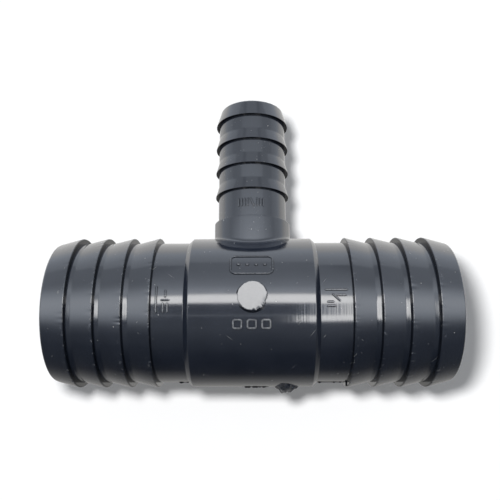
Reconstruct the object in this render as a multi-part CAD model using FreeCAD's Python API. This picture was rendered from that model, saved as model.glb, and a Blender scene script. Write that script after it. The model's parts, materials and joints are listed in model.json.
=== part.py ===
"""Barbed insert tee for polyethylene irrigation pipe, moulded in dark grey rigid PVC.

Millimetres, +Z up. The run lies along X and the branch points along +Y. The origin is where their
two axes cross. The real fitting is one moulding: its regions are written as separate closed solids
that meet face to face, so that each barb, neck, collar and moulding mark can be named and used.
"""
import FreeCAD, Part
import math
import os
from collections import namedtuple

# Run: a 1 1/2 inch spigot at each end
RUN_BORE_RADIUS = 17.0
RUN_ROOT_RADIUS = 19.75
RUN_CREST_RADIUS = 21.15
RUN_TIP_RADIUS = 19.4
RUN_END = 54.9
RUN_FIRST_CREST = 48.1
RUN_BARB_PITCH = 7.32
RUN_ROOT_SHARE = 0.2

# Branch: a 3/4 inch spigot
BRANCH_BORE_RADIUS = 7.9
BRANCH_ROOT_RADIUS = 9.95
BRANCH_CREST_RADIUS = 10.85
BRANCH_TIP_RADIUS = 9.4
BRANCH_END = 62.1
BRANCH_FIRST_CREST = 57.1
BRANCH_BARB_PITCH = 7.64
BRANCH_ROOT_SHARE = 0.55

# Shared barb details
BARB_COUNT = 4
CREST_LAND = 0.3
TIP_ROUND = 0.7
BORE_CHAMFER = 0.4

# Sleeve over the junction, and the collar that the branch stands on
SLEEVE_RADIUS = 21.0
SLEEVE_HALF_LENGTH = 17.7
SLEEVE_CHAMFER_LENGTH = 1.3
COLLAR_RADIUS = 11.05
COLLAR_TOP = 25.85

# Raised marks
MARK_HEIGHT = 0.28
STROKE_WIDTH = 0.55
DISC_RADIUS = 3.95
DISC_CENTRE = (0.2, 1.0)
DISC_FACE_Z = 21.15
FRAME_CENTRE_ARC = 10.1
FRAME_SIZE = (11.6, 6.4)
FRAME_CORNER_RADIUS = 1.6
FRAME_PIP_COUNT = 4
FRAME_PIP_SPACING = 2.3
FRAME_PIP_RADIUS = 0.5
DATE_ROW_ARC = -6.2
DATE_BOX_COUNT = 3
DATE_BOX_SPACING = 3.7
DATE_BOX_SIZE = 2.7
DATE_BOX_CORNER_RADIUS = 0.8

# Leftovers of moulding
FLASH_HEIGHT = 0.35
FLASH_THICKNESS = 0.3
LEFT_FLASH_START = -20.6
SLEEVE_FLASH = (-3.0, 4.6)
STUB_TIP_Y = -23.0
STUB_ROOT_Y = -19.5
STUB_ROOT_OUTLINE = [(4.1, -0.8), (5.3, 3.8), (7.0, 7.0), (10.4, 6.8), (14.9, 1.0), (13.4, -4.0), (7.6, -5.2)]
STUB_TIP_OUTLINE = [(7.9, -0.7), (8.0, 0.6), (8.5, 1.5), (10.3, 1.4), (11.1, 0.3), (10.7, -0.9), (8.9, -1.3)]

ORIGIN = FreeCAD.Vector(0, 0, 0)
X_AXIS = FreeCAD.Vector(1, 0, 0)
Y_AXIS = FreeCAD.Vector(0, 1, 0)
Z_AXIS = FreeCAD.Vector(0, 0, 1)
RIGHT, BRANCH, LEFT = 0, 90, 180

Spigot = namedtuple("Spigot", "name turn bore root crest tip end first_crest pitch root_share neck_start")

RUN_SIZES = (RUN_BORE_RADIUS, RUN_ROOT_RADIUS, RUN_CREST_RADIUS, RUN_TIP_RADIUS, RUN_END,
             RUN_FIRST_CREST, RUN_BARB_PITCH, RUN_ROOT_SHARE, SLEEVE_HALF_LENGTH)
BRANCH_SIZES = (BRANCH_BORE_RADIUS, BRANCH_ROOT_RADIUS, BRANCH_CREST_RADIUS, BRANCH_TIP_RADIUS, BRANCH_END,
                BRANCH_FIRST_CREST, BRANCH_BARB_PITCH, BRANCH_ROOT_SHARE, COLLAR_TOP)
SPIGOTS = [Spigot("left", LEFT, *RUN_SIZES), Spigot("right", RIGHT, *RUN_SIZES),
           Spigot("branch", BRANCH, *BRANCH_SIZES)]


def save(name, shape):
    """Write one node's STEP file."""
    shape.exportStep(os.path.join("parts", name + ".step"))


def turned(shape, degrees):
    """The shape, built along +X, swung about Z to its own direction."""
    copy = shape.copy()
    copy.rotate(ORIGIN, Z_AXIS, degrees)
    return copy


def revolved(outline):
    """A ring about X from a closed outline of (distance along X, radius) points."""
    points = [FreeCAD.Vector(along, radius, 0) for along, radius in outline]
    face = Part.Face(Part.makePolygon(points + points[:1]))
    return face.revolve(ORIGIN, X_AXIS, 360)


def rod(radius, start, end, axis=X_AXIS):
    """A solid cylinder about one of the two bore axes."""
    return Part.makeCylinder(radius, end - start, axis * start, axis)


def with_rounded_circle(shape, along, radius, rounding):
    """Round the circular edge about X that lies at one place and has one radius."""
    edges = [edge for edge in shape.Edges
             if isinstance(edge.Curve, Part.Circle)
             and abs(edge.Curve.Center.x - along) < 0.01
             and abs(edge.Curve.Radius - radius) < 0.01]
    return shape.makeFillet(rounding, edges)


def barb(spigot, number):
    """One tooth: a short root cylinder, a cone that rises inwards to a sharp crest, and a flat back."""
    crest_at = spigot.first_crest - number * spigot.pitch
    crest = [(crest_at + CREST_LAND, spigot.crest), (crest_at, spigot.crest), (crest_at, spigot.bore)]
    if number == 0:
        outline = [(spigot.end - BORE_CHAMFER, spigot.bore), (spigot.end, spigot.bore + BORE_CHAMFER),
                   (spigot.end, spigot.tip)]
        return with_rounded_circle(revolved(outline + crest), spigot.end, spigot.tip, TIP_ROUND)
    outer = crest_at + spigot.pitch
    root_end = outer - spigot.root_share * spigot.pitch
    outline = [(outer, spigot.bore), (outer, spigot.root), (root_end, spigot.root)]
    return revolved(outline + crest)


def neck(spigot):
    """The plain cylinder between the last barb and the tee's middle."""
    last_crest = spigot.first_crest - (BARB_COUNT - 1) * spigot.pitch
    return revolved([(spigot.neck_start, spigot.bore), (last_crest, spigot.bore),
                     (last_crest, spigot.root), (spigot.neck_start, spigot.root)])


def sleeve():
    """The thicker middle of the run, chamfered at both ends and open to the branch."""
    inner = SLEEVE_HALF_LENGTH
    outer = SLEEVE_HALF_LENGTH - SLEEVE_CHAMFER_LENGTH
    body = revolved([(-inner, RUN_BORE_RADIUS), (inner, RUN_BORE_RADIUS), (inner, RUN_ROOT_RADIUS),
                     (outer, SLEEVE_RADIUS), (-outer, SLEEVE_RADIUS), (-inner, RUN_ROOT_RADIUS)])
    return body.cut(rod(BRANCH_BORE_RADIUS, 0, COLLAR_TOP, Y_AXIS))


def collar():
    """The wider foot of the branch, saddled onto the sleeve."""
    body = rod(COLLAR_RADIUS, 0, COLLAR_TOP, Y_AXIS)
    saddle = rod(SLEEVE_RADIUS, -SLEEVE_HALF_LENGTH, SLEEVE_HALF_LENGTH)
    return body.cut(saddle).cut(rod(BRANCH_BORE_RADIUS, 0, COLLAR_TOP, Y_AXIS))


def skin(radius, height):
    """A thin tube over a run surface, which raised marks are cut from."""
    length = SLEEVE_HALF_LENGTH + RUN_BARB_PITCH * BARB_COUNT
    return rod(radius + height, -length, length).cut(rod(radius, -length, length))


def on_surface(prism, along, arc, radius):
    """Stand a flat prism on a cylinder about X: arc runs from the top towards +Y."""
    prism.translate(FreeCAD.Vector(along, 0, 0))
    prism.rotate(ORIGIN, X_AXIS, -math.degrees(arc / radius))
    return prism.common(skin(radius, MARK_HEIGHT))


def rounded_prism(width, height, corner, radius):
    """A tall prism about Z with rounded corners, centred on X and Y and reaching past the skin."""
    box = Part.makeBox(width, height, radius, FreeCAD.Vector(-width / 2, -height / 2, radius / 2))
    upright = [edge for edge in box.Edges if abs(edge.tangentAt(edge.FirstParameter).z) > 0.9]
    return box.makeFillet(corner, upright)


def stroke(radius, start, end):
    """A raised bar with round ends between two (along, arc) points."""
    along, arc = end[0] - start[0], end[1] - start[1]
    bar = rounded_prism(math.hypot(along, arc) + STROKE_WIDTH, STROKE_WIDTH, STROKE_WIDTH * 0.49, radius)
    bar.rotate(ORIGIN, Z_AXIS, math.degrees(math.atan2(arc, along)))
    return on_surface(bar, (start[0] + end[0]) / 2, (start[1] + end[1]) / 2, radius)


def pip(radius, along, arc, pip_radius):
    """A small raised dot."""
    return on_surface(rod(pip_radius, radius / 2, radius * 1.5, Z_AXIS), along, arc, radius)


def strokes(radius, lines, turn=RIGHT):
    """A group of raised bars on one cylinder."""
    return turned(Part.makeCompound([stroke(radius, start, end) for start, end in lines]), turn)


def centred_row(count, spacing):
    """Evenly spaced places about zero."""
    return [(index - (count - 1) / 2) * spacing for index in range(count)]


def left_size_mark():
    """Tally bars: one long bar, then one short bar over a rule over two short bars."""
    whole = -24.65
    fraction = -22.3
    lines = [((whole, 3.6), (whole, -2.9)),
             ((fraction, 2.6), (fraction, 1.1)),
             ((fraction - 0.9, 0.15), (fraction + 0.9, 0.15)),
             ((fraction - 0.55, -0.8), (fraction - 0.55, -2.9)),
             ((fraction + 0.55, -0.8), (fraction + 0.55, -2.9))]
    return strokes(RUN_ROOT_RADIUS, lines)


def right_size_mark():
    """The same tally turned a quarter, with a slanted rule."""
    lines = [((19.1, 2.8), (24.5, 2.8)),
             ((22.1, 1.3), (24.1, 1.3)),
             ((20.9, 1.5), (22.6, -0.1)),
             ((19.6, -0.4), (20.9, -0.4)),
             ((19.6, -1.5), (21.4, -1.5))]
    return strokes(RUN_ROOT_RADIUS, lines)


def branch_size_mark():
    """Tally bars round the branch neck: three, a slanted rule, then four."""
    low, high = 29.1, 31.0
    places = [-3.3, -2.4, -1.5, 1.1, 2.0, 2.9, 3.8]
    lines = [((low, place), (high, place)) for place in places]
    lines.append(((low, -0.5), (high, 0.3)))
    return strokes(BRANCH_ROOT_RADIUS, lines, BRANCH)


def outline(size, corner, along, arc):
    """A raised rounded rectangle, drawn as one stroke on the sleeve."""
    width, height = size
    outer = rounded_prism(width, height, corner, SLEEVE_RADIUS)
    inner = rounded_prism(width - 2 * STROKE_WIDTH, height - 2 * STROKE_WIDTH, corner - STROKE_WIDTH, SLEEVE_RADIUS)
    return on_surface(outer.cut(inner), along, arc, SLEEVE_RADIUS)


def label_frame():
    """A blank label outline with a row of pips in it."""
    pips = [pip(SLEEVE_RADIUS, along, FRAME_CENTRE_ARC, FRAME_PIP_RADIUS)
            for along in centred_row(FRAME_PIP_COUNT, FRAME_PIP_SPACING)]
    return Part.makeCompound([outline(FRAME_SIZE, FRAME_CORNER_RADIUS, 0, FRAME_CENTRE_ARC)] + pips)


def date_row():
    """A row of small open squares."""
    size = (DATE_BOX_SIZE, DATE_BOX_SIZE)
    return Part.makeCompound([outline(size, DATE_BOX_CORNER_RADIUS, along, DATE_ROW_ARC)
                              for along in centred_row(DATE_BOX_COUNT, DATE_BOX_SPACING)])


def marking_disc():
    """A flat-faced round boss on top of the sleeve."""
    centre = FreeCAD.Vector(DISC_CENTRE[0], DISC_CENTRE[1], RUN_ROOT_RADIUS)
    disc = Part.makeCylinder(DISC_RADIUS, DISC_FACE_Z - RUN_ROOT_RADIUS, centre, Z_AXIS)
    return disc.cut(rod(SLEEVE_RADIUS, -SLEEVE_HALF_LENGTH, SLEEVE_HALF_LENGTH))


def gate_stub():
    """What is left of the gate where the fitting was snapped off its runner."""
    wires = []
    for level, outline in ((STUB_ROOT_Y, STUB_ROOT_OUTLINE), (STUB_TIP_Y, STUB_TIP_OUTLINE)):
        points = [FreeCAD.Vector(x, level, z) for x, z in outline]
        wires.append(Part.makePolygon(points + points[:1]))
    lump = Part.makeLoft(wires, True, True)
    return lump.cut(rod(SLEEVE_RADIUS, -SLEEVE_HALF_LENGTH, SLEEVE_HALF_LENGTH))


def parting_flash():
    """Thin ridges along the underside of the mould's parting plane."""
    last_crest = RUN_FIRST_CREST - (BARB_COUNT - 1) * RUN_BARB_PITCH
    spans = [(LEFT_FLASH_START, -SLEEVE_HALF_LENGTH, RUN_ROOT_RADIUS), SLEEVE_FLASH + (SLEEVE_RADIUS,),
             (SLEEVE_HALF_LENGTH, last_crest, RUN_ROOT_RADIUS)]
    solids = []
    for start, end, radius in spans:
        slab = Part.makeBox(end - start, 2 * radius, FLASH_THICKNESS,
                            FreeCAD.Vector(start, -2 * radius, -FLASH_THICKNESS / 2))
        solids.append(slab.common(skin(radius, FLASH_HEIGHT)))
    return Part.makeCompound(solids)


def main():
    os.makedirs("parts", exist_ok=True)
    for spigot in SPIGOTS:
        save(spigot.name + "_neck", turned(neck(spigot), spigot.turn))
        for number in range(BARB_COUNT):
            save(f"{spigot.name}_barb_{number + 1}", turned(barb(spigot, number), spigot.turn))
    save("centre_sleeve", sleeve())
    save("branch_collar", collar())
    save("marking_disc", marking_disc())
    save("label_frame", label_frame())
    save("date_row", date_row())
    save("left_size_mark", left_size_mark())
    save("right_size_mark", right_size_mark())
    save("branch_size_mark", branch_size_mark())
    save("gate_stub", gate_stub())
    save("parting_flash", parting_flash())


main()
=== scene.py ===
"""Looks for a barbed insert tee moulded in dark grey PVC. Metres, +Z up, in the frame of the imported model.

Each region of the moulding gets a fine mesh with soft edges, handled crests and mould traces, and
shares one procedural plastic, so that the regions read as one glossy moulding.
"""
import json
import math
import random

import bmesh
import bpy
from mathutils import Matrix, Vector, noise


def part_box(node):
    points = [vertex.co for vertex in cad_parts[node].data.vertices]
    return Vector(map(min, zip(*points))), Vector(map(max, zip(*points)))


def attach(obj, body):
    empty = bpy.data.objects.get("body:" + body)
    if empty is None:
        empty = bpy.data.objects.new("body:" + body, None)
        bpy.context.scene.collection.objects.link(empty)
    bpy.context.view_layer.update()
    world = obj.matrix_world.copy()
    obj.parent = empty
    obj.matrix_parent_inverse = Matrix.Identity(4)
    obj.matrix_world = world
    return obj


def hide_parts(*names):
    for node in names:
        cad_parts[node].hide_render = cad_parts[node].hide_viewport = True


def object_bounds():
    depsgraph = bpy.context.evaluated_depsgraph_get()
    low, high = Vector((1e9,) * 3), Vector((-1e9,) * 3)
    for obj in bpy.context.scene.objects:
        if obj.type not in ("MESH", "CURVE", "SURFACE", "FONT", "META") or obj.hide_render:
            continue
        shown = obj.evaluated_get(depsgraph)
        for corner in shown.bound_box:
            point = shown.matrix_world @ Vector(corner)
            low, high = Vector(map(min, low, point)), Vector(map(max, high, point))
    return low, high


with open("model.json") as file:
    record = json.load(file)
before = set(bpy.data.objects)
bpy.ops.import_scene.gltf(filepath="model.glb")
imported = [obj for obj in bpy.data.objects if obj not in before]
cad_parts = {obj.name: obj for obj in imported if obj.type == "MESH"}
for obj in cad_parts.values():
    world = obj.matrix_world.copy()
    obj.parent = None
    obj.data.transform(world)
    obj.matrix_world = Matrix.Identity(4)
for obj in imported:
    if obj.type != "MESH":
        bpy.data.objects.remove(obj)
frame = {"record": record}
cad_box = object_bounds()

MM = 0.001
RIGHT, BRANCH, LEFT = 0, 90, 180
BARB_COUNT = 4
mount = {m["name"]: m for m in frame["record"]["mounts"]}

# Sizes read from the frame
RUN_BORE = mount["run_bore"]["dims"]["r_mm"] * MM
BRANCH_BORE = mount["branch_bore"]["dims"]["r_mm"] * MM
RUN_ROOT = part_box("right_neck")[1].z
RUN_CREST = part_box("right_barb_2")[1].z
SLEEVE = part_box("centre_sleeve")[1].z
SLEEVE_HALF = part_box("centre_sleeve")[1].x
BRANCH_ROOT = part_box("branch_neck")[1].z
BRANCH_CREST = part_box("branch_barb_2")[1].z
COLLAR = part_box("branch_collar")[1].z
COLLAR_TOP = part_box("branch_collar")[1].y

# Shapes that the boxes don't give
RUN_TIP = 19.4 * MM
BRANCH_TIP = 9.4 * MM
RUN_ROOT_SHARE = 0.2
BRANCH_ROOT_SHARE = 0.55
CHAMFER_LENGTH = 1.3 * MM
CHAMFER_FOOT = 0.05 * MM
SHOULDER_ROUND = 0.14 * MM
BORE_CHAMFER = 0.4 * MM
MOUTH_ROUND = 0.15 * MM
TIP_ROUND = 0.75 * MM
COLLAR_FILLET = 0.8 * MM
COLLAR_RIM = 0.16 * MM
STROKE_FOOT = 0.64 * MM
MARK_HEIGHT = 0.28 * MM
BURIED = 0.12 * MM

# Mesh fineness and small shapes
RUN_STEPS = 480
BRANCH_STEPS = 288
ARC_STEPS = 4
LONGEST_CUT = 1.2 * MM
SUPPORT = 0.07 * MM
ROOT_FILLET = 0.06 * MM
CREST_ROUND = 0.26 * MM
CONE_BLEND = 1.8 * MM
BACK_SHADE = 0.16 * MM
FOOT_SHADE = 0.22 * MM
WAVE_HEIGHT = 0.02 * MM
WAVE_LENGTH = 7.0 * MM
SEAM_HEIGHT = 0.05 * MM
SEAM_WIDTH = 0.16 * MM
WEAR_DEPTH = 0.25 * MM
BRANCH_WEAR = 0.2
FINE_NICKS = (34, (0.2, 0.7), (0.015, 0.05))
DEEP_NICKS = (7, (0.35, 0.9), (0.06, 0.13))
STUB_FOOT = 19.5 * MM
FIN_WIDTH = 0.28 * MM
SMOOTH_ANGLE = math.radians(38)


# ---------------------------------------------------------------- meshes

def finish_mesh(name, mesh, material, nodes, matt_and_highlight=0.0):
    """Shade and register one piece that stands for some CAD nodes. A matt mark is duller, with a painted
    highlight on its top.
    """
    if matt_and_highlight:
        layer = mesh.attributes.new("matt_and_highlight", "FLOAT", "POINT")
        layer.data.foreach_set("value", [matt_and_highlight] * len(mesh.vertices))
    mesh.shade_smooth()
    mesh.set_sharp_from_angle(angle=SMOOTH_ANGLE)
    piece = bpy.data.objects.new(name, mesh)
    bpy.context.scene.collection.objects.link(piece)
    piece.data.materials.append(material)
    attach(piece, "root")
    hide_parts(*nodes)
    return piece


def mesh_from(bm, name):
    """Turn a bmesh into a mesh with outward normals."""
    bmesh.ops.remove_doubles(bm, verts=bm.verts, dist=1e-7)
    bmesh.ops.dissolve_degenerate(bm, dist=1e-7, edges=bm.edges)
    bmesh.ops.recalc_face_normals(bm, faces=bm.faces)
    mesh = bpy.data.meshes.new(name)
    bm.to_mesh(mesh)
    bm.free()
    return mesh


def skin_rows(bm, rows, closed):
    """Quads between rows of vertices; each row is a closed loop, and closed joins the last to the first."""
    count = len(rows)
    for index in range(count if closed else count - 1):
        low, high = rows[index], rows[(index + 1) % count]
        for step in range(len(low)):
            after = (step + 1) % len(low)
            bm.faces.new((low[step], low[after], high[after], high[step]))


def place(along, radius, angle, turn):
    """A point about a spigot's own axis: angle 0 is up, and turn swings +X to the spigot."""
    point = Vector((along, radius * math.sin(angle), radius * math.cos(angle)))
    return Matrix.Rotation(math.radians(turn), 3, "Z") @ point


def corner_points(before, corner, after, rounding):
    """An arc in place of a corner, with a support point on each side of it."""
    to_before, to_after = before - corner, after - corner
    reach = min(to_before.length, to_after.length)
    to_before.normalize()
    to_after.normalize()
    half = to_before.angle(to_after) / 2
    setback = min(rounding / math.tan(half), reach * 0.45)
    rounding = setback * math.tan(half)
    centre = corner + (to_before + to_after).normalized() * (rounding / math.sin(half))
    start = corner + to_before * setback - centre
    end = corner + to_after * setback - centre
    sweep = start.angle_signed(end)
    points = [corner + to_before * min(setback + SUPPORT, reach * 0.49)]
    for index in range(ARC_STEPS + 1):
        turned = Matrix.Rotation(-sweep * index / ARC_STEPS, 2) @ start
        points.append(centre + turned)
    points.append(corner + to_after * min(setback + SUPPORT, reach * 0.49))
    return points


def soften(corners):
    """A closed outline of (along, radius) points, each corner rounded by its own third value."""
    points = []
    flat = [Vector(corner[:2]) for corner in corners]
    for index, corner in enumerate(corners):
        if corner[2] == 0:
            points.append(flat[index])
        else:
            points += corner_points(flat[index - 1], flat[index], flat[(index + 1) % len(flat)], corner[2])
    return points


def divided(points):
    """The outline with its long runs cut into shorter ones, so that the surface can carry gentle waves."""
    out = []
    for index, point in enumerate(points):
        after = points[(index + 1) % len(points)]
        cuts = max(1, math.ceil((after - point).length / LONGEST_CUT))
        out += [point.lerp(after, cut / cuts) for cut in range(cuts)]
    return out


def crest_nicks(seed, crest):
    """Small dents round one crest, shallower on the branch, each (angle, half width as an angle, depth)."""
    dice = random.Random(seed)
    nicks = []
    share = (crest / RUN_CREST) ** 2
    for count, widths, depths in (FINE_NICKS, DEEP_NICKS):
        for _ in range(count):
            width = dice.uniform(*widths) * MM / crest
            nicks.append((dice.uniform(0, 2 * math.pi), width, dice.uniform(*depths) * MM * share))
    return nicks


def nick_depth(nicks, angle):
    """How deep the crest is dented at an angle."""
    depth = 0
    for centre, width, deep in nicks:
        apart = abs((angle - centre + math.pi) % (2 * math.pi) - math.pi)
        if apart < width:
            depth = max(depth, deep * (0.5 + 0.5 * math.cos(math.pi * apart / width)))
    return depth


def lathe(outline, turn, steps, bore, crest=None, seed=0, high_shaded=False):
    """A ring about a spigot's axis, with gentle waves, a parting seam and, on a crest, small nicks.

    The painted shade value marks the flat back of a crest and the foot below it, painted darker and duller
    because they hardly see the light.
    """
    bm = bmesh.new()
    wear = bm.verts.layers.float.new("wear")
    painted_shade = bm.verts.layers.float.new("painted_shade")
    low, high = min(along for along, _ in outline), max(along for along, _ in outline)
    nicks = crest_nicks(seed, crest) if crest else []
    dents = [nick_depth(nicks, 2 * math.pi * step / steps) for step in range(steps)]
    rows = []
    for along, radius in outline:
        row = []
        for step in range(steps):
            angle = 2 * math.pi * step / steps
            point = place(along, radius, angle, turn)
            edge = 0
            if radius > bore + BORE_CHAMFER * 1.1:
                lift = noise.noise(point / WAVE_LENGTH) * WAVE_HEIGHT
                lift += SEAM_HEIGHT * math.exp(-(point.z / SEAM_WIDTH) ** 2)
                if crest and radius > crest - WEAR_DEPTH:
                    edge = min(1, (radius - crest + WEAR_DEPTH) / (WEAR_DEPTH * 0.8))
                    lift = min(lift - dents[step] * edge, 0)
                point = place(along, radius + lift, angle, turn)
            vert = bm.verts.new(point)
            vert[wear] = edge * (BRANCH_WEAR if turn == BRANCH else 1.0)
            # Painted shade: the flat back of a crest and the foot of the next one are darkened, as they
            # hardly see the light.
            if crest:
                vert[painted_shade] = max(0, 1 - (along - low) / BACK_SHADE)
            if high_shaded:
                vert[painted_shade] = max(vert[painted_shade], 1 - (high - along) / FOOT_SHADE)
            row.append(vert)
        rows.append(row)
    skin_rows(bm, rows, closed=True)
    return bm


def outward_span(node, axis):
    """How near to and how far from the middle a spigot's node reaches along its axis."""
    low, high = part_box(node)[0][axis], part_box(node)[1][axis]
    return (low, high) if high > 0 else (-high, -low)


def root_foot(at, root):
    """The soft inside corner where a root cylinder meets the flat back of the next crest."""
    return [(at, root + ROOT_FILLET, 0), (at - ROOT_FILLET * 0.3, root + ROOT_FILLET * 0.3, 0),
            (at - ROOT_FILLET, root, 0), (at - ROOT_FILLET - SUPPORT, root, 0),
            (at - FOOT_SHADE - SUPPORT, root, 0)]


def barb_outline(node, axis, bore, root, crest, tip, root_share, number):
    """A sawtooth: root cylinder, cone rising inwards to the crest, flat back. Soft edges all over."""
    inner, outer = outward_span(node, axis)
    if number == 1:
        front = [(outer - BORE_CHAMFER, bore, MOUTH_ROUND), (outer, bore + BORE_CHAMFER, MOUTH_ROUND),
                 (outer, tip, TIP_ROUND)]
    else:
        root_end = outer - root_share * (outer - inner)
        front = [(outer, bore, 0)] + root_foot(outer, root) + [(root_end, root, CONE_BLEND)]
    lift = 0
    for _ in range(2):
        outline = soften(front + [(inner, crest + lift, CREST_ROUND * (crest / RUN_CREST) ** 2),
                                  (inner, bore, 0)])
        lift += crest - max(point.y for point in outline)
    return divided(outline)


def build_spigot(name, turn, axis, bore, root, crest, tip, root_share, steps, material):
    """Four barbs and the neck of one spigot, each its own piece."""
    for number in range(1, BARB_COUNT + 1):
        node = f"{name}_barb_{number}"
        outline = barb_outline(node, axis, bore, root, crest, tip, root_share, number)
        bm = lathe(outline, turn, steps, bore, crest, seed=turn * 10 + number, high_shaded=number > 1)
        finish_mesh(f"{name}_barb_skin_{number}", mesh_from(bm, node), material, [node])
    node = f"{name}_neck"
    inner, outer = outward_span(node, axis)
    corners = [(inner, bore, 0), (outer, bore, 0)] + root_foot(outer, root)
    corners += [(inner + ROOT_FILLET + SUPPORT, root, 0), (inner + ROOT_FILLET, root, 0),
                (inner + ROOT_FILLET * 0.3, root + ROOT_FILLET * 0.3, 0), (inner, root + ROOT_FILLET, 0)]
    bm = lathe(divided(soften(corners)), turn, steps, bore, high_shaded=True)
    finish_mesh(f"{name}_neck_skin", mesh_from(bm, node), material, [node])


def bored(mesh, radius, low, high):
    """The mesh with a round hole along +Y cut through it from low to high."""
    bm = bmesh.new()
    bmesh.ops.create_cone(bm, cap_ends=True, segments=BRANCH_STEPS, radius1=radius, radius2=radius,
                          depth=high - low)
    bmesh.ops.rotate(bm, matrix=Matrix.Rotation(math.radians(-90), 3, "X"), verts=bm.verts)
    bmesh.ops.translate(bm, vec=(0, (low + high) / 2, 0), verts=bm.verts)
    cutter = bpy.data.objects.new("cutter", mesh_from(bm, "cutter"))
    body = bpy.data.objects.new("body", mesh)
    for item in (cutter, body):
        bpy.context.scene.collection.objects.link(item)
    hole = body.modifiers.new("hole", "BOOLEAN")
    hole.object = cutter
    hole.solver = "EXACT"
    bpy.context.view_layer.update()
    cut_mesh = bpy.data.meshes.new_from_object(body.evaluated_get(bpy.context.evaluated_depsgraph_get()))
    cut_mesh.materials.clear()
    for item in (cutter, body):
        bpy.data.objects.remove(item)
    return cut_mesh


def build_sleeve(material):
    """The thick middle of the run, chamfered, with the branch's hole cut through its wall."""
    shoulder = SLEEVE_HALF - CHAMFER_LENGTH
    foot = RUN_ROOT + CHAMFER_FOOT
    outline = soften([(-SLEEVE_HALF, RUN_BORE, 0), (SLEEVE_HALF, RUN_BORE, 0),
                      (SLEEVE_HALF, foot, CHAMFER_FOOT),
                      (shoulder, SLEEVE, SHOULDER_ROUND), (-shoulder, SLEEVE, SHOULDER_ROUND),
                      (-SLEEVE_HALF, foot, CHAMFER_FOOT)])
    bm = lathe(divided(outline), RIGHT, RUN_STEPS, RUN_BORE)
    mesh = bored(mesh_from(bm, "centre_sleeve"), BRANCH_BORE, 0, COLLAR_TOP)
    finish_mesh("centre_sleeve_skin", mesh, material, ["centre_sleeve"])


def collar_outline(angle):
    """One lengthwise section of the collar: fillet, straight side, soft rim, bore and hidden foot."""
    def saddle(radius):
        return math.sqrt(SLEEVE ** 2 - (radius * math.cos(angle)) ** 2)

    points = []
    for index in range(6):
        swing = math.pi / 2 * index / 5
        radius = COLLAR + COLLAR_FILLET * (1 - math.sin(swing))
        points.append((saddle(radius) + COLLAR_FILLET * (1 - math.cos(swing)), radius))
    low = points[-1][0]
    straight = COLLAR_TOP - COLLAR_RIM - low
    points += [(low + straight * share, COLLAR) for share in (0.03, 0.25, 0.5, 0.75, 0.97)]
    for index in range(5):
        swing = math.pi / 2 * index / 4
        points.append((COLLAR_TOP - COLLAR_RIM * (1 - math.sin(swing)),
                       COLLAR - COLLAR_RIM * (1 - math.cos(swing))))
    middle = (BRANCH_BORE + COLLAR) / 2
    return points + [(COLLAR_TOP, COLLAR - COLLAR_RIM * 2), (COLLAR_TOP, BRANCH_ROOT + ROOT_FILLET),
                     (COLLAR_TOP, BRANCH_BORE), (saddle(BRANCH_BORE), BRANCH_BORE), (saddle(middle), middle)]


def build_collar(material):
    """The branch's foot, saddled onto the sleeve with a small fillet."""
    bm = bmesh.new()
    columns = []
    for step in range(BRANCH_STEPS):
        angle = 2 * math.pi * step / BRANCH_STEPS
        columns.append([bm.verts.new(place(along, radius, angle, BRANCH))
                        for along, radius in collar_outline(angle)])
    skin_rows(bm, [list(row) for row in zip(*columns)], closed=True)
    finish_mesh("branch_collar_skin", mesh_from(bm, "branch_collar"), material,
                ["branch_collar"])


# ---------------------------------------------------------------- raised marks

def on_run(radius):
    """Places a point given along the run and round it, both in metres, at a height over a run cylinder."""
    def at(point, height):
        angle = point.y / radius
        return Vector((point.x, (radius + height) * math.sin(angle), (radius + height) * math.cos(angle)))
    return at


def on_branch(radius):
    """The same for the branch: the second value runs towards -X."""
    def at(point, height):
        angle = -point.y / radius
        return Vector(((radius + height) * math.sin(angle), point.x, (radius + height) * math.cos(angle)))
    return at


RIDGE_PROFILE = ((-1, -1), (-1, 0), (-0.82, 0.38), (-0.64, 0.78), (-0.45, 0.97), (0, 1), (0.45, 0.97),
                 (0.64, 0.78), (0.82, 0.38), (1, 0), (1, -1))
CAP_SWINGS = (1.35, 1.0, 0.65, 0.3)
PIP_PROFILE = ((1.1, -BURIED / MARK_HEIGHT), (1.1, 0), (0.9, 0.5), (0.72, 0.86), (0.45, 1), (0.12, 1))
PIP_STEPS = 20
LABEL_ARC = 10.1 * MM
LABEL_SIZE = (11.05 * MM, 5.85 * MM)
LABEL_CORNER = 1.3 * MM
PIP_SPACING = 2.3 * MM
PIP_RADIUS = 0.5 * MM
BOX_ARC = -6.2 * MM
BOX_SPACING = 3.7 * MM
BOX_SIZE = 2.15 * MM
BOX_CORNER = 0.5 * MM


def shaded_vert(bm, point, shade):
    """A vertex with its painted shade value: 1 at the foot of a mark, painted dark as shade, 0 on its top."""
    vert = bm.verts.new(point)
    vert[bm.verts.layers.float["painted_shade"]] = min(1.0, shade)
    return vert


def ridge_row(bm, at, centre, side, half_width, height):
    """One section across a ridge, from its buried foot over its soft top and down again."""
    row = []
    for across, up in RIDGE_PROFILE:
        lift = up * height if up > 0 else up * BURIED
        row.append(shaded_vert(bm, at(centre + side * (across * half_width), lift), 1 - up))
    return row


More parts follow.
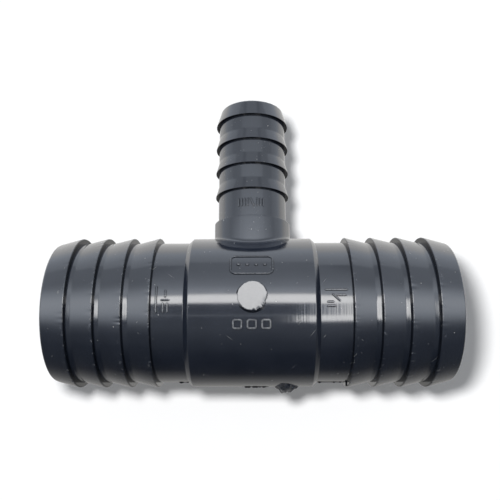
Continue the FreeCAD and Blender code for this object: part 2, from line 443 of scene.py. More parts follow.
def ridge(bm, at, points, closed=False):
    """A soft raised stroke along a line of (along, round) points, with round ends unless it is closed."""
    half = STROKE_FOOT / 2
    sections = []
    for index, point in enumerate(points):
        before = points[index - 1] if closed or index > 0 else point
        after = points[(index + 1) % len(points)] if closed or index < len(points) - 1 else point
        ahead = (after - before).normalized()
        sections.append((point, ahead, 1.0))
    if not closed:
        for where, sign in ((0, -1), (-1, 1)):
            point, ahead, _ = sections[where]
            cap = [(point + ahead * (sign * half * math.sin(swing)), ahead, math.cos(swing))
                   for swing in CAP_SWINGS]
            sections = cap + sections if sign < 0 else sections + cap[::-1]
    rows = [ridge_row(bm, at, point, Vector((-ahead.y, ahead.x)), half * share, MARK_HEIGHT * share ** 0.35)
            for point, ahead, share in sections]
    for index in range(len(rows) if closed else len(rows) - 1):
        low, high = rows[index], rows[(index + 1) % len(rows)]
        for step in range(len(low) - 1):
            bm.faces.new((low[step], low[step + 1], high[step + 1], high[step]))
        bm.faces.new((low[-1], low[0], high[0], high[-1]))
    if not closed:
        bm.faces.new(rows[0])
        bm.faces.new(rows[-1][::-1])


def stepped(start, end, step=0.5 * MM):
    """Evenly spaced points from start to end."""
    start, end = Vector(start), Vector(end)
    count = max(1, round((end - start).length / step))
    return [start.lerp(end, index / count) for index in range(count + 1)]


def pip(bm, at, centre, radius):
    """A small raised dome."""
    rows = []
    for share, up in PIP_PROFILE:
        row = []
        for step in range(PIP_STEPS):
            swing = 2 * math.pi * step / PIP_STEPS
            out = radius * share * Vector((math.cos(swing), math.sin(swing)))
            row.append(shaded_vert(bm, at(Vector(centre) + out, up * MARK_HEIGHT), 1 - up))
        rows.append(row)
    skin_rows(bm, rows, closed=False)
    bm.faces.new(rows[0][::-1])
    bm.faces.new(rows[-1])


def rounded_rectangle(centre, size, corner):
    """Points round a rectangle with round corners."""
    points = []
    for quarter, (sign_x, sign_y) in enumerate(((1, 1), (-1, 1), (-1, -1), (1, -1))):
        middle = Vector((centre[0] + sign_x * (size[0] / 2 - corner),
                         centre[1] + sign_y * (size[1] / 2 - corner)))
        for step in range(7):
            swing = math.pi / 2 * (quarter + step / 6)
            points.append(middle + corner * Vector((math.cos(swing), math.sin(swing))))
    path = []
    for index, point in enumerate(points):
        path += stepped(point, points[(index + 1) % len(points)])[:-1]
    return path


def mark_mesh():
    """An empty mesh that can carry painted shade values."""
    bm = bmesh.new()
    bm.verts.layers.float.new("painted_shade")
    return bm


def tally(at, lines):
    """Raised bars between pairs of (along, round) points in millimetres."""
    bm = mark_mesh()
    for start, end in lines:
        ridge(bm, at, stepped(Vector(start) * MM, Vector(end) * MM))
    return bm


def centred_row(count, spacing):
    """Evenly spaced places about zero."""
    return [(index - (count - 1) / 2) * spacing for index in range(count)]


def build_marks(material):
    """The raised frame with its pips, the squares below the disc, and the size tallies on the three necks."""
    sleeve, neck, branch = on_run(SLEEVE), on_run(RUN_ROOT), on_branch(BRANCH_ROOT)
    label = mark_mesh()
    ridge(label, sleeve, rounded_rectangle((0, LABEL_ARC), LABEL_SIZE, LABEL_CORNER), closed=True)
    for along in centred_row(4, PIP_SPACING):
        pip(label, sleeve, (along, LABEL_ARC), PIP_RADIUS)
    row = mark_mesh()
    for along in centred_row(3, BOX_SPACING):
        ridge(row, sleeve, rounded_rectangle((along, BOX_ARC), (BOX_SIZE, BOX_SIZE), BOX_CORNER), closed=True)
    left = tally(neck, [((-24.65, 3.6), (-24.65, -2.9)), ((-22.3, 2.6), (-22.3, 1.1)),
                        ((-23.2, 0.15), (-21.4, 0.15)), ((-22.85, -0.8), (-22.85, -2.9)),
                        ((-21.75, -0.8), (-21.75, -2.9))])
    right = tally(neck, [((19.1, 2.8), (24.5, 2.8)), ((22.1, 1.3), (24.1, 1.3)), ((20.9, 1.5), (22.6, -0.1)),
                         ((19.6, -0.4), (20.9, -0.4)), ((19.6, -1.5), (21.4, -1.5))])
    bars = [((29.1, place), (31.0, place)) for place in (-3.3, -2.4, -1.5, 1.1, 2.0, 2.9, 3.8)]
    mouth = tally(branch, bars + [((29.1, -0.5), (31.0, 0.3))])
    # Each mark's matt share: how much duller it is and how strong the painted highlight on its top is.
    for name, bm, matt_and_highlight in (("label_frame", label, 0.12), ("date_row", row, 1.0),
                           ("left_size_mark", left, 0.1), ("right_size_mark", right, 0.1),
                           ("branch_size_mark", mouth, 0.05)):
        finish_mesh(f"{name}_skin", mesh_from(bm, name), material, [name], matt_and_highlight)


DISC_STEPS = 240
DISC_FOOT = ((1.13, 0.9), (1.12, 0.02), (1.06, -0.05), (1.02, -0.14))
DISC_FACE = ((1.0, 0.17), (0.997, 0.07), (0.988, 0.02), (0.975, 0.0), (0.955, 0.0), (0.93, 0.0), (0.9, 0.0),
             (0.8, 0.0), (0.6, 0.0), (0.3, 0.0), (0.03, 0.0))
FOOT_LEAN = math.radians(20)
WORST_SIDE = math.radians(35)


def build_disc(material):
    """The round boss: a foot with painted shade, wider and darker below, and a flat face, its rim chewed most
    at the lower right and painted darker where chewed.

    The foot and the face are rings of (share of the radius, drop in millimetres).
    """
    low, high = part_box("marking_disc")
    radius = high.x / 2 - low.x / 2
    centre = (low + high) / 2
    top = high.z
    bm = mark_mesh()
    rows = []
    for share, drop in DISC_FOOT:
        row = []
        for step in range(DISC_STEPS):
            swing = 2 * math.pi * step / DISC_STEPS
            # The foot reaches further out below, and its painted shade is stronger there.
            spread = max(0.12, min(1.0, 0.5 - math.sin(swing + FOOT_LEAN)))
            out = radius * (1 + (share - 1) * spread)
            x, y = centre.x + out * math.cos(swing), centre.y + out * math.sin(swing)
            under = math.sqrt(SLEEVE ** 2 - y ** 2) - drop * MM
            row.append(shaded_vert(bm, (x, y, min(under, top - 0.2 * MM)), (1.16 - share) * 10 * spread))
        rows.append(row)
    for share, drop in DISC_FACE:
        row = []
        for step in range(DISC_STEPS):
            swing = 2 * math.pi * step / DISC_STEPS
            way = Vector((math.cos(swing), math.sin(swing), 0))
            worst = max(0.0, math.cos(swing + WORST_SIDE)) ** 1.5
            bite = max(0.0, noise.noise(way * 9 + Vector((0.2, 0.4, 0.7))) + 0.05 + 0.25 * worst)
            bite += 0.4 * max(0.0, noise.noise(way * 23 + Vector((3.2, 1.4, 0.1))))
            reach = 0.03 + 0.1 * worst
            worn = bite * max(0.0, min(1.0, (share - 1 + reach) / reach))
            out = radius * (share - 0.02 * worn)
            point = (centre.x + out * way.x, centre.y + out * way.y, top - (drop + 0.5 * worn) * MM)
            # Painted shade where the face's rim drops away and where it is chewed.
            row.append(shaded_vert(bm, point, drop * 4 + worn * 3))
        rows.append(row)
    skin_rows(bm, rows, closed=False)
    bm.faces.new(rows[0][::-1])
    bm.faces.new(rows[-1])
    finish_mesh("marking_disc_skin", mesh_from(bm, "marking_disc"), material, ["marking_disc"])


STUB_ROOT = [(-0.21, 0.32), (-0.05, 0.78), (0.17, 1.1), (0.62, 1.08), (1.21, 0.5), (1.02, 0.0), (0.25, -0.12)]
STUB_TIP = [(0.29, 0.33), (0.3, 0.46), (0.37, 0.55), (0.61, 0.54), (0.71, 0.43), (0.66, 0.31), (0.42, 0.27)]
STUB_STEPS = 140
STUB_LEVELS = 22
TORN_FROM = 0.72


def build_stub(material):
    """The snapped-off gate: a wide jagged lump, with a torn and whitened end.

    The outlines at its root and tip are (x, z) shares of the stub's box.
    """
    low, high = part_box("gate_stub")
    size = high - low
    middle = low + 0.5 * size
    bm = bmesh.new()
    torn = bm.verts.layers.float.new("torn")
    rows = []
    for level in range(STUB_LEVELS):
        share = level / (STUB_LEVELS - 1)
        row = []
        for step in range(STUB_STEPS):
            place_on = step / STUB_STEPS * len(STUB_ROOT)
            first, rest = int(place_on), place_on % 1
            after = (first + 1) % len(STUB_ROOT)
            wide = Vector(STUB_ROOT[first]).lerp(Vector(STUB_ROOT[after]), rest)
            thin = Vector(STUB_TIP[first]).lerp(Vector(STUB_TIP[after]), rest)
            spot = wide.lerp(thin, share ** 0.94)
            end = (low.y + 0.05 * size.y
                   + abs(noise.noise(Vector((spot.x * 5, spot.y * 4, 2.2)))) * 0.3 * size.y)
            end += max(0.0, spot.x - 0.34) * 0.22 * size.y
            point = Vector((low.x + spot.x * size.x, -STUB_FOOT + (end + STUB_FOOT) * share,
                            low.z + spot.y * size.z))
            rough = noise.noise(point / (1.5 * MM)) * 0.3 + noise.noise(point / (0.5 * MM)) * 0.16
            shrink = 1 - min(0.3, abs(rough)) * (0.25 + 0.7 * share)
            point.x = middle.x + (point.x - middle.x) * shrink
            point.z = middle.z + (point.z - middle.z) * shrink
            point.y = max(low.y, point.y + noise.noise(point / (0.6 * MM)) * 0.12 * MM)
            vert = bm.verts.new(point)
            vert[torn] = max(0.0, (share - TORN_FROM) / (1 - TORN_FROM))
            row.append(vert)
        rows.append(row)
    end_row = rows[-1]
    middle_end = sum((vert.co for vert in end_row), Vector()) / STUB_STEPS
    for share in (0.8, 0.6, 0.4, 0.2, 0.05):
        row = []
        for old in end_row:
            point = middle_end.lerp(old.co, share)
            point.y += (0.2 + abs(noise.noise(point / (0.7 * MM)))) * 0.7 * MM * (1 - share)
            vert = bm.verts.new(point)
            vert[torn] = 0.8
            row.append(vert)
        rows.append(row)
    skin_rows(bm, rows, closed=False)
    bm.faces.new(rows[0][::-1])
    bm.faces.new(rows[-1])
    finish_mesh("gate_stub_skin", mesh_from(bm, "gate_stub"), material, ["gate_stub"])


SLEEVE_FLASH = (-3.0 * MM, 4.6 * MM)
FLASH_STEP = 0.12 * MM


def build_flash(material):
    """Thin ragged flash on the parting plane's lower side, with a fin at the crest beside the right neck, all
    painted dark as shade.
    """
    low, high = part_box("parting_flash")
    half = (high.z - low.z) / 2
    reach = -low.y - SLEEVE
    bm = bmesh.new()
    for start, end, radius, dashes, least in ((low.x, -SLEEVE_HALF, RUN_ROOT, 0.1, 0.3),
                                              (*SLEEVE_FLASH, SLEEVE, 0.75, 0.06),
                                              (SLEEVE_HALF, high.x, RUN_ROOT, 0.3, 0.4)):
        count = round((end - start) / FLASH_STEP)
        rows = []
        for index in range(count + 1):
            share = index / count
            along = start + (end - start) * share
            ragged = dashes + 1.6 * noise.noise(Vector((along / (0.7 * MM), radius / MM, 0)))
            ragged += 0.4 * noise.noise(Vector((along / (2.6 * MM), radius / MM, 4)))
            tall = reach * min(1.0, max(least, ragged)) * min(1.0, 8 * share + 0.1, 8 * (1 - share) + 0.1)
            rows.append([bm.verts.new((along, -radius - out, up)) for out, up in
                         ((-BURIED, -half), (tall * 0.4, -half * 0.7), (tall, -half * 0.25),
                          (tall, half * 0.25), (tall * 0.4, half * 0.7), (-BURIED, half))])
        skin_rows(bm, rows, closed=False)
        bm.faces.new(rows[0][::-1])
        bm.faces.new(rows[-1])
    tall = RUN_CREST - RUN_ROOT + BURIED - CREST_ROUND
    middle = Matrix.Translation((high.x - FIN_WIDTH / 2, -RUN_ROOT + BURIED - tall / 2, 0))
    bmesh.ops.create_cube(bm, size=1, matrix=middle @ Matrix.Diagonal((FIN_WIDTH, tall, 2 * half, 1)))
    # Painted shade: the whole flash and its fin are darkened, as if in shade.
    painted_shade = bm.verts.layers.float.new("painted_shade")
    for vert in bm.verts:
        vert[painted_shade] = 1
    finish_mesh("parting_flash_skin", mesh_from(bm, "parting_flash"), material,
                ["parting_flash"])


# ---------------------------------------------------------------- materials

def add_node(tree, kind, **settings):
    """A node with its plain settings made."""
    node = tree.nodes.new(kind)
    for name, value in settings.items():
        setattr(node, name, value)
    return node


def feed(tree, socket, value):
    """Link a socket to another, or set its value."""
    if isinstance(value, bpy.types.NodeSocket):
        tree.links.new(value, socket)
    else:
        socket.default_value = value


def maths(tree, operation, *values):
    """The result of one maths node."""
    node = add_node(tree, "ShaderNodeMath", operation=operation)
    for socket, value in zip(node.inputs, values):
        feed(tree, socket, value)
    return node.outputs[0]


def ranged(tree, value, low, high, out_low=0.0, out_high=1.0, kind="SMOOTHSTEP"):
    """A value carried from one range to another, held at the ends."""
    node = add_node(tree, "ShaderNodeMapRange", interpolation_type=kind)
    for name, number in (("Value", value), ("From Min", low), ("From Max", high), ("To Min", out_low),
                         ("To Max", out_high)):
        feed(tree, node.inputs[name], number)
    return node.outputs["Result"]


def curve(tree, value, stops, peak):
    """A value read off a line through stops, each a position and a height, no higher than peak."""
    first, last = stops[0][0], stops[-1][0]
    share = ranged(tree, value, first, last, kind="LINEAR")
    ramp = add_node(tree, "ShaderNodeValToRGB")
    elements = ramp.color_ramp.elements
    while len(elements) < len(stops):
        elements.new(0.5)
    for element, (position, _) in zip(elements, stops):
        element.position = (position - first) / (last - first)
    for element, (_, height) in zip(elements, stops):
        element.color = (height / peak, height / peak, height / peak, 1)
    tree.links.new(share, ramp.inputs[0])
    return maths(tree, "MULTIPLY", ramp.outputs["Color"], peak)


def blend(tree, share, first, second):
    """A plain value between two others."""
    node = add_node(tree, "ShaderNodeMix", data_type="FLOAT")
    feed(tree, node.inputs["Factor"], share)
    feed(tree, node.inputs["A"], first)
    feed(tree, node.inputs["B"], second)
    return node.outputs["Result"]


def colour_blend(tree, share, first, second):
    """A colour between two others."""
    node = add_node(tree, "ShaderNodeMix", data_type="RGBA")
    colours = [socket for socket in node.inputs if socket.type == "RGBA"]
    feed(tree, node.inputs["Factor"], share)
    feed(tree, colours[0], first)
    feed(tree, colours[1], second)
    return [socket for socket in node.outputs if socket.type == "RGBA"][0]


def stretched(tree, factors):
    """Object coordinates scaled by a factor on each axis."""
    coordinates = add_node(tree, "ShaderNodeTexCoord")
    scale = add_node(tree, "ShaderNodeVectorMath", operation="MULTIPLY")
    tree.links.new(coordinates.outputs["Object"], scale.inputs[0])
    scale.inputs[1].default_value = factors
    return scale.outputs[0]


def stored(tree, name):
    """A value that the mesh carries at its vertices."""
    return add_node(tree, "ShaderNodeAttribute", attribute_name=name).outputs["Fac"]


def noise_value(tree, vector, size, detail=2.0, roughness=0.5):
    """Noise from 0 to 1 whose patches are about size across."""
    node = add_node(tree, "ShaderNodeTexNoise")
    tree.links.new(vector, node.inputs["Vector"])
    node.inputs["Scale"].default_value = 1 / size
    node.inputs["Detail"].default_value = detail
    node.inputs["Roughness"].default_value = roughness
    return node.outputs["Fac"]


def specks(tree, vector, spacing, radius, share):
    """Small ragged spots of uneven strength, one in a share of the cells."""
    wobble = add_node(tree, "ShaderNodeTexNoise")
    tree.links.new(vector, wobble.inputs["Vector"])
    wobble.inputs["Scale"].default_value = 1 / (radius * 1.6)
    push = add_node(tree, "ShaderNodeVectorMath", operation="SCALE")
    tree.links.new(wobble.outputs["Color"], push.inputs[0])
    push.inputs["Scale"].default_value = radius * 2.4
    moved = add_node(tree, "ShaderNodeVectorMath", operation="ADD")
    tree.links.new(vector, moved.inputs[0])
    tree.links.new(push.outputs[0], moved.inputs[1])
    node = add_node(tree, "ShaderNodeTexVoronoi")
    tree.links.new(moved.outputs[0], node.inputs["Vector"])
    node.inputs["Scale"].default_value = 1 / spacing
    spot = ranged(tree, node.outputs["Distance"], radius / spacing, radius / spacing * 0.6)
    split = add_node(tree, "ShaderNodeSeparateColor")
    tree.links.new(node.outputs["Color"], split.inputs[0])
    chosen = maths(tree, "LESS_THAN", split.outputs[0], share)
    strength = ranged(tree, split.outputs[1], 0.0, 1.0, 0.12, 1.0, "LINEAR")
    return maths(tree, "MULTIPLY", maths(tree, "MULTIPLY", spot, chosen), maths(tree, "POWER", strength, 1.6))


def wrapped(tree):
    """Coordinates along the run, round it and out from its axis."""
    split = add_node(tree, "ShaderNodeSeparateXYZ")
    tree.links.new(stretched(tree, (1, 1, 1)), split.inputs[0])
    y, z = split.outputs["Y"], split.outputs["Z"]
    out = maths(tree, "SQRT", maths(tree, "ADD", maths(tree, "MULTIPLY", y, y),
                                    maths(tree, "MULTIPLY", z, z)))
    join = add_node(tree, "ShaderNodeCombineXYZ")
    feed(tree, join.inputs["X"], split.outputs["X"])
    feed(tree, join.inputs["Y"], maths(tree, "MULTIPLY", maths(tree, "ARCTAN2", y, z), SLEEVE))
    feed(tree, join.inputs["Z"], out)
    return join.outputs[0]


def scratches(tree, turn, spacing, length, width, share):
    """Short fine lines at one angle to the run, in a share of the cells."""
    mapping = add_node(tree, "ShaderNodeMapping", vector_type="TEXTURE")
    tree.links.new(wrapped(tree), mapping.inputs["Vector"])
    mapping.inputs["Rotation"].default_value = (0, 0, math.radians(turn))
    mapping.inputs["Scale"].default_value = (length / width, 1, 1)
    node = add_node(tree, "ShaderNodeTexVoronoi")
    tree.links.new(mapping.outputs[0], node.inputs["Vector"])
    node.inputs["Scale"].default_value = 1 / spacing
    line = ranged(tree, node.outputs["Distance"], width / spacing, width / spacing * 0.5)
    split = add_node(tree, "ShaderNodeSeparateColor")
    tree.links.new(node.outputs["Color"], split.inputs[0])
    return maths(tree, "MULTIPLY", line, maths(tree, "LESS_THAN", split.outputs[0], share))


def bumped(tree, height, distance, under=None):
    """A normal from a height."""
    node = add_node(tree, "ShaderNodeBump")
    node.inputs["Strength"].default_value = 1.0
    node.inputs["Distance"].default_value = distance
    tree.links.new(height, node.inputs["Height"])
    if under is not None:
        tree.links.new(under, node.inputs["Normal"])
    return node.outputs[0]


def new_material(name):
    """A material with a plain shader, and its tree and shader."""
    material = bpy.data.materials.new(name)
    material.use_nodes = True
    return material, material.node_tree, material.node_tree.nodes["Principled BSDF"]


def shaded(tree, shader, colour):
    """Painted shade: colour and reflection, both made weaker where the mesh carries painted shade, in the
    hollows that the light hardly reaches.
    """
    shade = ranged(tree, stored(tree, "painted_shade"), 0.0, 0.7)
    tree.links.new(colour_blend(tree, maths(tree, "MULTIPLY", shade, 0.6), colour, (0.0, 0.0, 0.0, 1)),
                   shader.inputs["Base Color"])
    tree.links.new(maths(tree, "SUBTRACT", 0.5, maths(tree, "MULTIPLY", shade, 0.42)),
                   shader.inputs["Specular IOR Level"])


DARK = (0.0055, 0.0072, 0.0115, 1)
SOFT_DARK = (0.0075, 0.0095, 0.0145, 1)
DUST = (0.42, 0.42, 0.40, 1)
RUB = (0.10, 0.105, 0.115, 1)
# Colour of the painted highlight on the tops of matt marks.
PAINTED_MARK_HIGHLIGHT = (0.19, 0.195, 0.2, 1)
SCUFFED = (0.045, 0.05, 0.06, 1)
WHITENED = (0.2, 0.2, 0.2, 1)


def moulded_plastic():
    """Glossy dark PVC: faint clouds, drag lines from the mould, dust, hairline scratches, rubbed crests,
    painted shade and painted highlights on mark tops.
    """
    material, tree, shader = new_material("moulded_pvc")
    plain = stretched(tree, (1, 1, 1))
    clouds = noise_value(tree, plain, 11 * MM, detail=3.0)
    grain = noise_value(tree, plain, 0.35 * MM, detail=3.0)
    drag = noise_value(tree, stretched(tree, (1, 0.03, 0.03)), 0.9 * MM, detail=3.0, roughness=0.6)
    rings = noise_value(tree, stretched(tree, (1, 0.02, 0.02)), 0.5 * MM, detail=2.0, roughness=0.7)
    place_on = add_node(tree, "ShaderNodeSeparateXYZ")
    tree.links.new(stretched(tree, (1 / MM, 1 / MM, 1 / MM)), place_on.inputs[0])
    brushed = maths(tree, "MULTIPLY", ranged(tree, place_on.outputs["X"], 8.0, 13.0),
                    ranged(tree, place_on.outputs["Y"], 3.0, -2.0))
    brushed = maths(tree, "MULTIPLY", brushed, ranged(tree, clouds, 0.3, 0.5))
    dust = maths(tree, "MULTIPLY", specks(tree, plain, 1.6 * MM, 0.15 * MM, 0.42),
                 ranged(tree, clouds, 0.4, 0.52))
    hairs = maths(tree, "MAXIMUM", scratches(tree, 52, 0.8 * MM, 1.7 * MM, 0.09 * MM, 0.5),
                  scratches(tree, -38, 0.9 * MM, 2.2 * MM, 0.09 * MM, 0.4))
    hairs = maths(tree, "MULTIPLY", hairs, ranged(tree, noise_value(tree, plain, 5 * MM), 0.5, 0.62))
    wear = stored(tree, "wear")
    rubbed = maths(tree, "MULTIPLY", wear,
                   ranged(tree, noise_value(tree, plain, 1.3 * MM, detail=4.0), 0.56, 0.72))
    colour = colour_blend(tree, ranged(tree, clouds, 0.35, 0.65), DARK, SOFT_DARK)
    colour = colour_blend(tree, maths(tree, "MULTIPLY", rubbed, 0.3), colour, RUB)
    # Painted highlight: the tops of matt marks are made paler in place of the lamp's glint on them; matt also
    # makes them duller.
    matt_and_highlight = stored(tree, "matt_and_highlight")
    raised = ranged(tree, stored(tree, "painted_shade"), 0.45, 0.05)
    raised = maths(tree, "MULTIPLY", raised,
                   ranged(tree, noise_value(tree, plain, 0.7 * MM), 0.35, 0.65, 0.15, 0.65))
    colour = colour_blend(tree, maths(tree, "MULTIPLY", matt_and_highlight, raised), colour, PAINTED_MARK_HIGHLIGHT)
    colour = colour_blend(tree, maths(tree, "MULTIPLY", hairs, 0.36), colour, DUST)
    colour = colour_blend(tree, maths(tree, "MULTIPLY", dust, 0.85), colour, DUST)
    shaded(tree, shader, colour)
    gloss = ranged(tree, clouds, 0.3, 0.7, 0.10, 0.13)
    gloss = maths(tree, "ADD", gloss, maths(tree, "MULTIPLY", grain, 0.02))
    gloss = maths(tree, "ADD", gloss, maths(tree, "MULTIPLY", matt_and_highlight, 0.28))
    gloss = blend(tree, maths(tree, "MAXIMUM", rubbed, maths(tree, "MAXIMUM", hairs, dust)), gloss, 0.5)
    tree.links.new(gloss, shader.inputs["Roughness"])
    normal = bumped(tree, drag, 0.005 * MM)
    normal = bumped(tree, maths(tree, "MULTIPLY", rings, brushed), 0.028 * MM, normal)
    normal = bumped(tree, grain, 0.0015 * MM, normal)
    tree.links.new(normal, shader.inputs["Normal"])
    return material


def disc_plastic():
    """The same plastic with the finely pitted face of a mould insert, with painted shade in its chewed rim.
    """
    material, tree, shader = new_material("disc_face")
    plain = stretched(tree, (1, 1, 1))
    pits = noise_value(tree, plain, 0.5 * MM, detail=4.0, roughness=0.65)
    colour = colour_blend(tree, ranged(tree, pits, 0.35, 0.7), DARK, SOFT_DARK)
    shaded(tree, shader, colour)
    tree.links.new(ranged(tree, pits, 0.3, 0.7, 0.12, 0.19), shader.inputs["Roughness"])
    tree.links.new(bumped(tree, pits, 0.006 * MM), shader.inputs["Normal"])
    return material


def broken_plastic():
    """The torn end of the runner: rough and dark, stress-whitened at its very edge."""
    material, tree, shader = new_material("broken_pvc")
    plain = stretched(tree, (1, 1, 1))
    tears = noise_value(tree, plain, 0.8 * MM, detail=4.0, roughness=0.6)
    torn = stored(tree, "torn")
    colour = colour_blend(tree, ranged(tree, tears, 0.52, 0.7), DARK, SCUFFED)
    pale = maths(tree, "MULTIPLY", torn, ranged(tree, tears, 0.4, 0.6, 0.3, 1.0))
    colour = colour_blend(tree, pale, colour, WHITENED)
    tree.links.new(colour, shader.inputs["Base Color"])
    tree.links.new(ranged(tree, tears, 0.3, 0.7, 0.25, 0.5), shader.inputs["Roughness"])
    tree.links.new(bumped(tree, tears, 0.06 * MM), shader.inputs["Normal"])
    return material


# ---------------------------------------------------------------- stage

CAMERA_PLACE = Vector((1.65, -26.55, 175.6)) * MM
CAMERA_TILT = 14.35
CAMERA_LEAN = 0.734
CAMERA_ROLL = -0.276
LENS = 44.22
FLOOR_SIZE = 6.0
FLOOR_COLOUR = (0.8, 0.8, 0.8, 1)
ROOF_HEIGHT = 140 * MM
ROOF_SIZE = 800 * MM
LAMP_RADIANCE = 14.2
LAMP_MIDDLE = -10.0
LAMP_HALF = (84.0, 53.0)
OPENING_RADIANCE = 0.7
KEY_PLACE = Vector((-26, 1.5, 191)) * MM
KEY_RADIUS = 15 * MM
KEY_POWER = 1.7
FILL_RADIANCE = 0.08
BACKDROP_RADIANCE = 0.75
FLOOR_GLOW = 0.165
COOL = (0.93, 1.0, 1.1)
WARM = (1.0, 0.99, 0.97)

# The roof's glow along Y, in stops of (millimetres, radiance): beside the lamp's middle, beyond its ends
# and where the camera's holder hides it. ROOF_DIP is the share by which the first is weaker further out.
ROOF_MIDDLE = [(-400, 0.1), (-190, 0.28), (-130, 0.48), (-96, 0.65), (-72, 0.8), (24, 4.6), (48, 4.4),
               (60, 3.8), (72, 3.0), (84, 2.7), (96, 2.5), (108, 2.25), (130, 2.0), (190, 1.7), (400, 1.55)]
ROOF_DIP = [(-400, 0.5), (-60, 0.5), (20, 0.3), (45, 0.3), (65, 0.0), (130, 0.0), (150, 0.25), (400, 0.25)]
ROOF_SIDES = [(-400, 0.1), (-144, 0.37), (-120, 0.53), (-96, 0.8), (-84, 1.1), (-72, 1.6), (-60, 2.4),
              (-48, 3.2), (-36, 3.9), (-24, 4.7), (0, 5.3), (12, 5.4), (24, 5.3), (36, 4.9), (48, 4.3),
              (60, 3.8), (72, 3.2), (84, 2.6), (96, 2.25), (120, 1.9), (400, 1.6)]
ROOF_SIDES_SHARE = 0.86
ROOF_HIDDEN = [(-400, 0.1), (-190, 0.25), (-130, 0.4), (-84, 0.6), (-30, 0.65)]

# The tent's glow, in stops of (degrees round the run from straight up, radiance) and of (upward share of
# the way out, radiance)
TENT_ROUND_RUN = [(-180, 0.5), (-166, 0.45), (-148, 0.6), (-134, 0.5), (-124, 0.3), (-115, 0.08),
                  (-98, 0.03), (-89, 0.03), (-77, 0.06), (-70, 0.1), (-50, 0.35), (0, 2.0), (70, 2.05),
                  (95, 2.2), (115, 2.0), (131, 1.6), (147, 1.15), (163, 0.8), (180, 0.8)]
TENT_BY_HEIGHT = [(-1, 0.5), (-0.9, 0.75), (-0.79, 1.15), (-0.62, 1.6), (-0.4, 1.95), (0, 1.8), (1, 1.8)]


def add_camera():
    """Looks down on the fitting from just below its run."""
    data = bpy.data.cameras.new("camera")
    data.lens = LENS
    data.clip_start = 0.01
    camera = bpy.data.objects.new("camera", data)
    camera.location = CAMERA_PLACE
    camera.rotation_mode = "ZYX"
    camera.rotation_euler = [math.radians(a) for a in (CAMERA_TILT, CAMERA_LEAN, CAMERA_ROLL)]
    bpy.context.scene.collection.objects.link(camera)
    bpy.context.scene.camera = camera


def add_floor():
    """A plain white table at the lowest crest. The plastic mirrors the pale tent instead of it."""
    bm = bmesh.new()
    bmesh.ops.create_grid(bm, x_segments=1, y_segments=1, size=FLOOR_SIZE / 2)
    bmesh.ops.translate(bm, vec=(0, 0, cad_box[0][2]), verts=bm.verts)
    floor = bpy.data.objects.new("floor", mesh_from(bm, "floor"))
    bpy.context.scene.collection.objects.link(floor)
    material, tree, shader = new_material("table")
    shader.inputs["Base Color"].default_value = FLOOR_COLOUR
    shader.inputs["Roughness"].default_value = 1.0
    shader.inputs["Specular IOR Level"].default_value = 0.0
    shader.inputs["Emission Color"].default_value = (1, 1, 1, 1)
    shader.inputs["Emission Strength"].default_value = FLOOR_GLOW
    floor.data.materials.append(material)
    floor.visible_glossy = False


def soft_box(tree, x, y, low, high, soft):
    """1 inside a rectangle in millimetres, 0 outside it, with soft edges."""
    sides = []
    for value, first, last in ((x, low[0], high[0]), (y, low[1], high[1])):
        apart = maths(tree, "ABSOLUTE", maths(tree, "SUBTRACT", value, (first + last) / 2))
        half = (last - first) / 2
        sides.append(ranged(tree, apart, half + soft, half - soft))
    return maths(tree, "MULTIPLY", *sides)


def add_roof():
    """The tent's glowing roof: an oval lamp round the opening that the camera looks through.

    Only the plastic's gloss sees it. The camera's holder hides the lamp's lower left part.
    """
    bm = bmesh.new()
    bmesh.ops.create_grid(bm, x_segments=1, y_segments=1, size=ROOF_SIZE / 2)
    bmesh.ops.translate(bm, vec=(0, 0, ROOF_HEIGHT), verts=bm.verts)
    roof = bpy.data.objects.new("roof", mesh_from(bm, "roof"))
    bpy.context.scene.collection.objects.link(roof)
    material = bpy.data.materials.new("roof")
    material.use_nodes = True
    material.cycles.emission_sampling = "NONE"
    tree = material.node_tree
    tree.nodes.clear()
    split = add_node(tree, "ShaderNodeSeparateXYZ")
    tree.links.new(stretched(tree, (1 / MM, 1 / MM, 1 / MM)), split.inputs[0])
    x, y = split.outputs["X"], split.outputs["Y"]
    aside = maths(tree, "ABSOLUTE", x)
    middle = curve(tree, y, ROOF_MIDDLE, 6)
    dip = maths(tree, "MULTIPLY", ranged(tree, aside, 50.0, 70.0), curve(tree, y, ROOF_DIP, 1))
    middle = maths(tree, "MULTIPLY", middle, maths(tree, "SUBTRACT", 1.0, dip))
    sides = maths(tree, "MULTIPLY", curve(tree, y, ROOF_SIDES, 6), ROOF_SIDES_SHARE)
    glow = blend(tree, ranged(tree, aside, 92.0, 108.0), middle, sides)
    endways = maths(tree, "ABSOLUTE", maths(tree, "SUBTRACT", y, LAMP_MIDDLE))
    cubed = [maths(tree, "POWER", maths(tree, "DIVIDE", value, half), 3.0)
             for value, half in zip((aside, endways), LAMP_HALF)]
    lamp = ranged(tree, maths(tree, "ADD", *cubed), 1.05, 0.6)
    level = blend(tree, lamp, glow, LAMP_RADIANCE)
    opening = maths(tree, "MULTIPLY", ranged(tree, x, -60.0, -50.0),
                    ranged(tree, x, 56.0, 20.0, kind="LINEAR"))
    opening = maths(tree, "MULTIPLY", opening, soft_box(tree, x, y, (-200, -34), (200, 9), 4))
    level = blend(tree, opening, level, OPENING_RADIANCE)
    holder = maths(tree, "MAXIMUM", soft_box(tree, x, y, (-60, -400), (20, -32), 5),
                   soft_box(tree, x, y, (-100, -400), (-44, -50), 8))
    hidden = curve(tree, y, ROOF_HIDDEN, 1)
    level = blend(tree, holder, level, hidden)
    glowing = add_node(tree, "ShaderNodeEmission")
    tree.links.new(level, glowing.inputs["Strength"])
    tree.links.new(colour_blend(tree, ranged(tree, level, 3.0, 9.0), COOL + (1,), (1, 1, 1, 1)),
                   glowing.inputs["Color"])
    output = add_node(tree, "ShaderNodeOutputMaterial")
    tree.links.new(glowing.outputs[0], output.inputs["Surface"])
    roof.data.materials.append(material)
    for way in ("camera", "diffuse", "shadow", "transmission", "volume_scatter"):
        setattr(roof, f"visible_{way}", False)


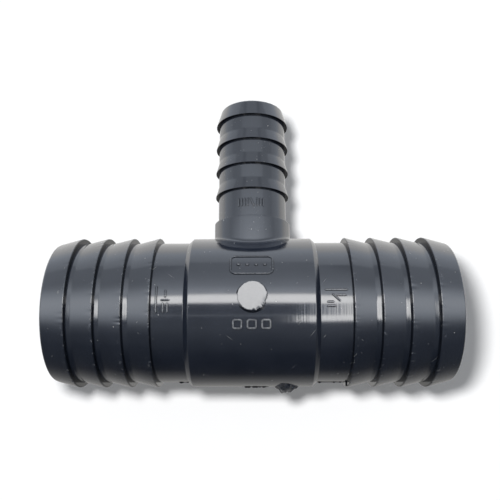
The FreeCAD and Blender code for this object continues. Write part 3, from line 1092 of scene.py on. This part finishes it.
def add_key():
    """A lamp above and left of the camera, even over the table, for the soft shadow at the lower right."""
    data = bpy.data.lights.new("key", "POINT")
    data.shadow_soft_size = KEY_RADIUS
    data.energy = KEY_POWER
    data.use_nodes = True
    tree = data.node_tree
    coordinates = add_node(tree, "ShaderNodeTexCoord")
    split = add_node(tree, "ShaderNodeSeparateXYZ")
    tree.links.new(coordinates.outputs["Normal"], split.inputs[0])
    steepness = maths(tree, "MAXIMUM", maths(tree, "ABSOLUTE", split.outputs["Z"]), 0.4)
    feed(tree, tree.nodes["Emission"].inputs["Strength"], maths(tree, "POWER", steepness, -3.0))
    lamp = bpy.data.objects.new("key", data)
    lamp.location = KEY_PLACE
    lamp.visible_glossy = False
    lamp.visible_camera = False
    bpy.context.scene.collection.objects.link(lamp)


def add_world():
    """The tent's walls and floor: pale all round and dark on its open side, where the camera's holder is."""
    world = bpy.data.worlds.new("tent")
    bpy.context.scene.world = world
    world.use_nodes = True
    tree = world.node_tree
    tree.nodes.clear()
    coordinates = add_node(tree, "ShaderNodeTexCoord")
    split = add_node(tree, "ShaderNodeSeparateXYZ")
    tree.links.new(coordinates.outputs["Generated"], split.inputs[0])
    x, y, z = (split.outputs[name] for name in "XYZ")
    swing = maths(tree, "DEGREES", maths(tree, "ARCTAN2", y, z))
    along = curve(tree, swing, TENT_ROUND_RUN, 4)
    across = curve(tree, z, TENT_BY_HEIGHT, 4)
    across = maths(tree, "MULTIPLY", across, ranged(tree, y, -0.5, 0.1, 0.1, 1.0))
    sideways = ranged(tree, maths(tree, "ABSOLUTE", x), 0.3, 0.8)
    mirrored = blend(tree, sideways, along, across)
    path = add_node(tree, "ShaderNodeLightPath")
    level = blend(tree, path.outputs["Is Diffuse Ray"], mirrored, FILL_RADIANCE)
    level = blend(tree, path.outputs["Is Camera Ray"], level, BACKDROP_RADIANCE)
    light = add_node(tree, "ShaderNodeBackground")
    below = ranged(tree, z, -0.1, -0.4)
    tree.links.new(colour_blend(tree, below, COOL + (1,), WARM + (1,)), light.inputs["Color"])
    tree.links.new(level, light.inputs["Strength"])
    output = add_node(tree, "ShaderNodeOutputWorld")
    tree.links.new(light.outputs[0], output.inputs["Surface"])


def main():
    plastic = moulded_plastic()
    disc = disc_plastic()
    broken = broken_plastic()
    for name, turn in (("left", LEFT), ("right", RIGHT)):
        build_spigot(name, turn, 0, RUN_BORE, RUN_ROOT, RUN_CREST, RUN_TIP,
                     RUN_ROOT_SHARE, RUN_STEPS, plastic)
    build_spigot("branch", BRANCH, 1, BRANCH_BORE, BRANCH_ROOT, BRANCH_CREST, BRANCH_TIP,
                 BRANCH_ROOT_SHARE, BRANCH_STEPS, plastic)
    build_sleeve(plastic)
    build_collar(plastic)
    build_marks(plastic)
    build_disc(disc)
    build_stub(broken)
    build_flash(plastic)


add_camera()
add_floor()
add_roof()
add_key()
add_world()
bpy.context.scene.view_settings.view_transform = "Standard"
main()
